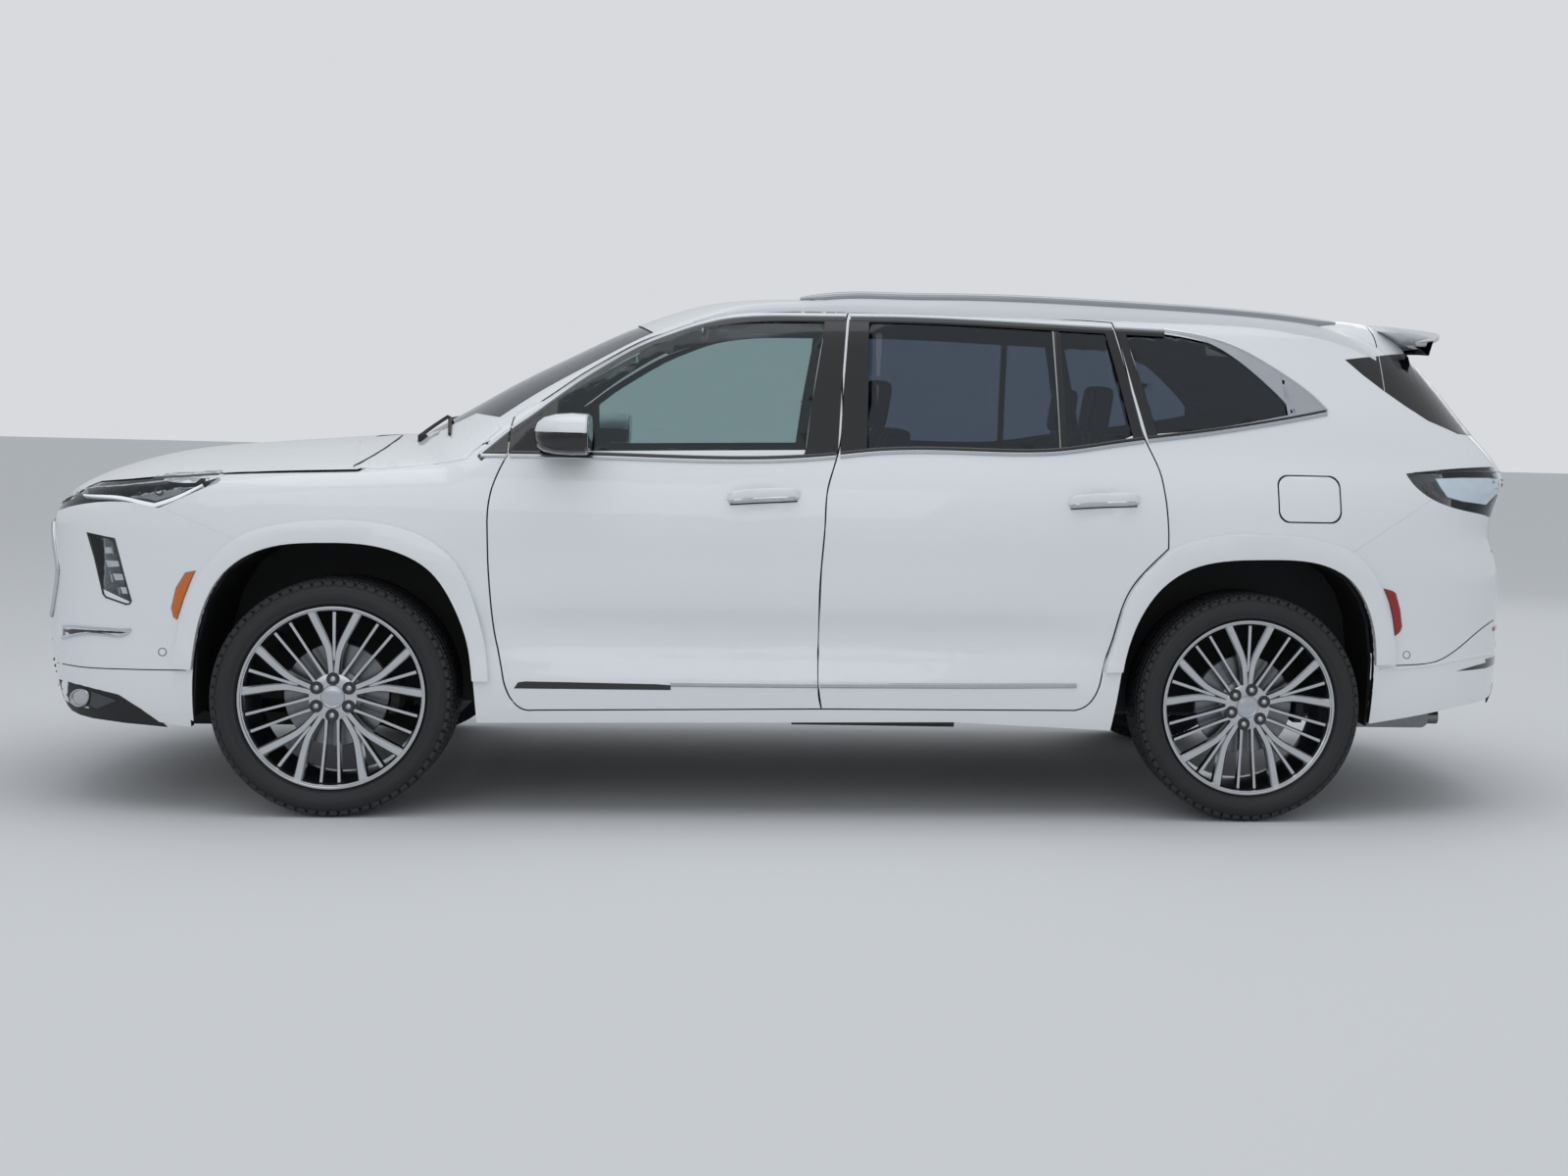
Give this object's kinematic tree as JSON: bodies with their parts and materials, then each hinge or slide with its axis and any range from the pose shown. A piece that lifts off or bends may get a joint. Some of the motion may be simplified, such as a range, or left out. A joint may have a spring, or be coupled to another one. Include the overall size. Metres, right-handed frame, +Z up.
{
  "type": "suv",
  "caption": "White three-row family SUV with opening doors, hood and liftgate, steered front wheels and a fitted cabin.",
  "frame": {"origin": "on the ground, midway along the car on its centreline", "axes": "+X towards the rear, +Y to the car's right side, +Z up"},
  "size_m": [5.273, 2.3082, 1.8037],
  "materials": {
    "white_paint": "gloss",
    "dark_glass": "gloss",
    "clear_glass": "gloss",
    "lamp_glass": "gloss",
    "red_lamp": "gloss",
    "bright_trim": "polished",
    "alloy": "satin",
    "tyre_rubber": "matte",
    "black_plastic": "matte",
    "cabin_plastic": "matte",
    "seat_leather": "satin",
    "bare_steel": "satin",
    "cast_metal": "matte"
  },
  "bodies": {
    "shell": {"arch_flares": "white_paint", "body_side_left": "white_paint", "body_side_right": "white_paint", "corner_lamps": "lamp_glass", "cowl": "black_plastic", "dashboard": "cabin_plastic", "engine_block": "cast_metal", "exhaust": "bare_steel", "fender_left": "white_paint", "fender_right": "white_paint", "floor_pan": "cabin_plastic", "front_bumper": "white_paint", "front_seats": "seat_leather", "front_subframe": "cast_metal", "fuel_tank": "black_plastic", "gate_hinges": "bare_steel", "grille": "bright_trim", "headlamps": "lamp_glass", "hood_hinges": "bare_steel", "middle_seats": "seat_leather", "quarter_glass": "dark_glass", "rear_bumper": "white_paint", "rear_seats": "seat_leather", "rear_subframe": "cast_metal", "roof_panel": "white_paint", "roof_rails": "alloy", "tail_lamps": "red_lamp", "wheel_liners": "black_plastic", "windscreen": "clear_glass"},
    "hood": {"hood": "white_paint"},
    "liftgate": {"liftgate": "white_paint", "rear_window": "dark_glass"},
    "fuel_flap": {"fuel_door": "white_paint"},
    "steering": {"steering_wheel": "cabin_plastic"},
    "front_door_left": {"front_door_left": "white_paint", "front_door_glass_left": "clear_glass", "mirror_left": "white_paint"},
    "rear_door_left": {"rear_door_left": "white_paint", "rear_door_glass_left": "dark_glass"},
    "steer_left": {"knuckle_left": "cast_metal"},
    "wheel_front_left": {"wheel_front_left": "alloy", "tyre_front_left": "tyre_rubber"},
    "wheel_rear_left": {"wheel_rear_left": "alloy", "tyre_rear_left": "tyre_rubber"},
    "front_door_right": {"front_door_right": "white_paint", "front_door_glass_right": "clear_glass", "mirror_right": "white_paint"},
    "rear_door_right": {"rear_door_right": "white_paint", "rear_door_glass_right": "dark_glass"},
    "steer_right": {"knuckle_right": "cast_metal"},
    "wheel_front_right": {"wheel_front_right": "alloy", "tyre_front_right": "tyre_rubber"},
    "wheel_rear_right": {"wheel_rear_right": "alloy", "tyre_rear_right": "tyre_rubber"}
  },
  "joints": [
    {"name": "front_door_left_hinge", "type": "hinge", "parent": "shell", "child": "front_door_left", "pos_m": [-1.06621, -0.984, 0.99165], "axis": [0, 0, -1], "range_deg": [0, 65]},
    {"name": "rear_door_left_hinge", "type": "hinge", "parent": "shell", "child": "rear_door_left", "pos_m": [0.03321, -0.984, 0.99165], "axis": [0, 0, -1], "range_deg": [0, 65]},
    {"name": "front_door_right_hinge", "type": "hinge", "parent": "shell", "child": "front_door_right", "pos_m": [-1.06621, 0.984, 0.99165], "axis": [0, 0, 1], "range_deg": [0, 65]},
    {"name": "rear_door_right_hinge", "type": "hinge", "parent": "shell", "child": "rear_door_right", "pos_m": [0.03321, 0.984, 0.99165], "axis": [0, 0, 1], "range_deg": [0, 65]},
    {"name": "hood_hinge", "type": "hinge", "parent": "shell", "child": "hood", "pos_m": [-1.33, 0, 1.256], "axis": [0, 1, 0], "range_deg": [0, 50]},
    {"name": "liftgate_hinge", "type": "hinge", "parent": "shell", "child": "liftgate", "pos_m": [2.034, 0, 1.758], "axis": [0, -1, 0], "range_deg": [0, 75]},
    {"name": "fuel_door_hinge", "type": "hinge", "parent": "shell", "child": "fuel_flap", "pos_m": [1.60946, -0.96924, 1.11245], "axis": [0, 0, -1], "range_deg": [0, 80]},
    {"name": "steering_column", "type": "hinge", "parent": "shell", "child": "steering", "pos_m": [-0.6332, -0.40344, 1.00968], "axis": [0.9063, 0, 0.4226], "range_deg": [-500, 500]},
    {"name": "steer_left_joint", "type": "hinge", "parent": "shell", "child": "steer_left", "pos_m": [-1.5545, -0.7925, 0.392], "axis": [0, 0, 1], "range_deg": [-35, 35]},
    {"name": "steer_right_joint", "type": "hinge", "parent": "shell", "child": "steer_right", "pos_m": [-1.5545, 0.7925, 0.392], "axis": [0, 0, 1], "range_deg": [-35, 35]},
    {"name": "wheel_front_left_spin", "type": "hinge", "parent": "steer_left", "child": "wheel_front_left", "pos_m": [-1.5545, -0.8525, 0.392], "axis": [0, 1, 0], "continuous": true},
    {"name": "wheel_front_right_spin", "type": "hinge", "parent": "steer_right", "child": "wheel_front_right", "pos_m": [-1.5545, 0.8525, 0.392], "axis": [0, 1, 0], "continuous": true},
    {"name": "wheel_rear_left_spin", "type": "hinge", "parent": "shell", "child": "wheel_rear_left", "pos_m": [1.5165, -0.8525, 0.392], "axis": [0, 1, 0], "continuous": true},
    {"name": "wheel_rear_right_spin", "type": "hinge", "parent": "shell", "child": "wheel_rear_right", "pos_m": [1.5165, 0.8525, 0.392], "axis": [0, 1, 0], "continuous": true}
  ],
  "couplings": [
    {"joint": "steer_right_joint", "follows": "steer_left_joint", "ratio": 1},
    {"joint": "steering_column", "follows": "steer_left_joint", "ratio": 14}
  ]
}
